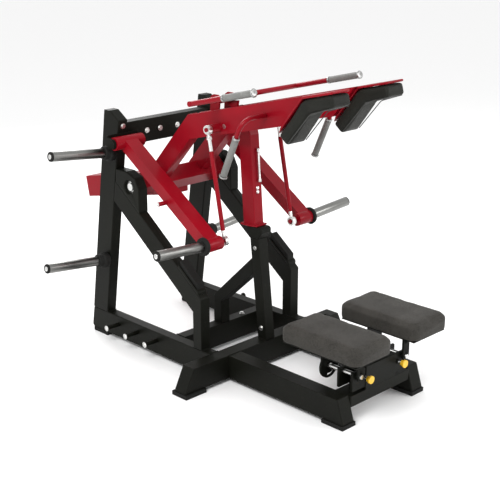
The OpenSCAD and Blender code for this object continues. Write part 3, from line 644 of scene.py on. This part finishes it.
def welds():
    top, out, inn = RAIL_TOP, UPRIGHT_X, 0.295
    bead("frame_weld_beads", [
        ((inn, -0.158, top), (out, -0.158, top)), ((inn, -0.098, top), (out, -0.098, top)),
        ((inn, upright_rear(top) - 0.121, top), (out, upright_rear(top) - 0.121, top)),
        ((inn, -0.216, top), (out, -0.216, top)),
        ((0.218, -0.296, top), (0.298, -0.296, top)),
        ((0.030, -0.296, top), (-0.030, -0.296, top)), ((0.030, -0.236, top), (-0.030, -0.236, top)),
        ((0.030, -0.296, top), (0.030, -0.236, top)),
        ((0.030, 0.037, top), (0.030, 0.097, top)), ((-0.030, 0.037, top), (0.030, 0.037, top)),
        ((inn, upright_rear(1.080) - 0.116, 1.080), (inn, upright_rear(1.080) - 0.116, 1.200)),
        ((inn, 0.037, 0.020), (inn, 0.037, top)), ((inn, 0.037, top), (inn, 0.097, top)),
    ], POWDER, "frame", 0.0035)
    bead("arm_weld_beads", [
        ((0.109, KNEE_Y, KNEE_Z), (0.169, KNEE_Y, KNEE_Z)),
        ((0.109, 0.015, KNEE_Z + 0.0255), (0.109, 0.100, KNEE_Z + 0.0047)),
    ], RED, "press_arm", 0.003)


welds()


# -------------------------------------------------------------- strut hardware

def strut_hardware():
    """The damper rod on the strut's front face, held by two clips, and its bolts."""
    def front(z):
        return -0.138 - 0.040 - (1.190 - z) * 0.0753

    y0, y1 = front(0.96) - 0.012, front(1.12) - 0.012
    rod_rows = [(0, 0.0), (0, 0.0085), (0.016, 0.0085), (0.018, 0.0055), (0.150, 0.0055),
                (0.152, 0.0085), (0.170, 0.0085), (0.170, 0.0)]
    rod = turned((0.008, y0, 0.955), (0.008, y1, 1.125), softened(rod_rows, 0.001), 28)
    piece("strut_rod", *rod, ZINC, "prop_strut", "zinc")
    heads = []
    for z in (0.925, 0.905):
        y = front(z)
        head_rows = [(0, 0.0), (0, 0.010), (0.004, 0.010), (0.009, 0.0075), (0.0095, 0.0)]
        heads.append(turned((0.0, y + 0.002, z), (0.0, y - 1, z - 0.075), softened(head_rows, 0.001), 24))
    piece("strut_bolts", *joined(heads), ZINC, "prop_strut", "zinc")


strut_hardware()


def peg_washers():
    """A steel washer on the end of each band peg of the side rails, and on each weight arm's peg."""
    ends = [("frame", "rail", (0.4385, 0.505 - 0.159 * k, 0.094), 0.0155) for k in range(3)]
    ends.append(("weight_arm_{side}", "arm", (0.4158, 0.075, 0.866), 0.0095))
    for number, (body, where, place, radius) in enumerate(ends):
        place = np.array(place)
        rows = [(0, 0.0), (0, radius), (0.003, radius), (0.003, radius * 0.55),
                (0.006, radius * 0.5), (0.0065, 0.0)]
        disc = turned(place, place + (1, 0, 0), softened(rows, 0.0008), 32)
        for side, turn in (("right", lambda part: part), ("left", mirrored)):
            piece(f"{where}_peg_washer_{number}_{side}", *turn(disc), ZINC, body.format(side=side), "zinc")


peg_washers()


# ------------------------------------------------------- floor, light and camera

def studio():
    size = 40.0
    floor_mesh = bpy.data.meshes.new("studio_floor")
    step = np.linspace(-size, size, 3)
    gx, gy = np.meshgrid(step, step)
    points = np.column_stack([gx.ravel(), gy.ravel(), np.full(9, -0.0005)])
    faces = [[0, 1, 4, 3], [1, 2, 5, 4], [3, 4, 7, 6], [4, 5, 8, 7]]
    floor_mesh.from_pydata(points.tolist(), [], faces)
    floor = bpy.data.objects.new("studio_floor", floor_mesh)
    bpy.context.scene.collection.objects.link(floor)
    paper = Finish("floor_paper", Specular_IOR_Level=0.1)
    paper.surface.inputs["Base Color"].default_value = (0.93, 0.93, 0.93, 1)
    paper.surface.inputs["Roughness"].default_value = 0.9
    floor_mesh.materials.append(paper.material)

    world = bpy.data.worlds.new("soft_white")
    world.use_nodes = True
    world.node_tree.nodes["Background"].inputs["Color"].default_value = (1, 1, 1, 1)
    world.node_tree.nodes["Background"].inputs["Strength"].default_value = 1.0
    bpy.context.scene.world = world
    bpy.context.scene.view_settings.view_transform = "Standard"
    bpy.context.scene.view_settings.gamma = 0.9

    def lamp(name, place, target, width, power):
        light = bpy.data.lights.new(name, "AREA")
        light.shape, light.size, light.size_y, light.energy = "RECTANGLE", width, width * 0.7, power
        thing = bpy.data.objects.new(name, light)
        thing.location = place
        thing.rotation_euler = (Vector(target) - Vector(place)).to_track_quat("-Z", "Y").to_euler()
        bpy.context.scene.collection.objects.link(thing)

    lamp("key_light", (-3.6, -1.6, 4.2), (0, 0, 0.7), 2.4, 170)
    lamp("fill_light", (2.4, -4.2, 2.6), (0, -0.2, 0.7), 2.6, 70)
    lamp("rim_light", (1.5, 4.0, 3.4), (0, 0, 0.8), 2.2, 90)


studio()


def camera():
    azimuth, elevation = math.radians(-44.9), math.radians(18.1)
    lens = bpy.data.cameras.new("camera")
    lens.sensor_width = 36
    lens.lens = 1083.2 / 500 * 36
    lens.clip_end = 120
    thing = bpy.data.objects.new("camera", lens)
    ahead = Vector((-math.sin(azimuth) * math.cos(elevation), math.cos(azimuth) * math.cos(elevation),
                    -math.sin(elevation)))
    thing.rotation_euler = ahead.to_track_quat("-Z", "Y").to_euler()
    thing.location = (-3.7086, -3.8678, 2.3046)
    bpy.context.scene.collection.objects.link(thing)
    bpy.context.scene.camera = thing


camera()
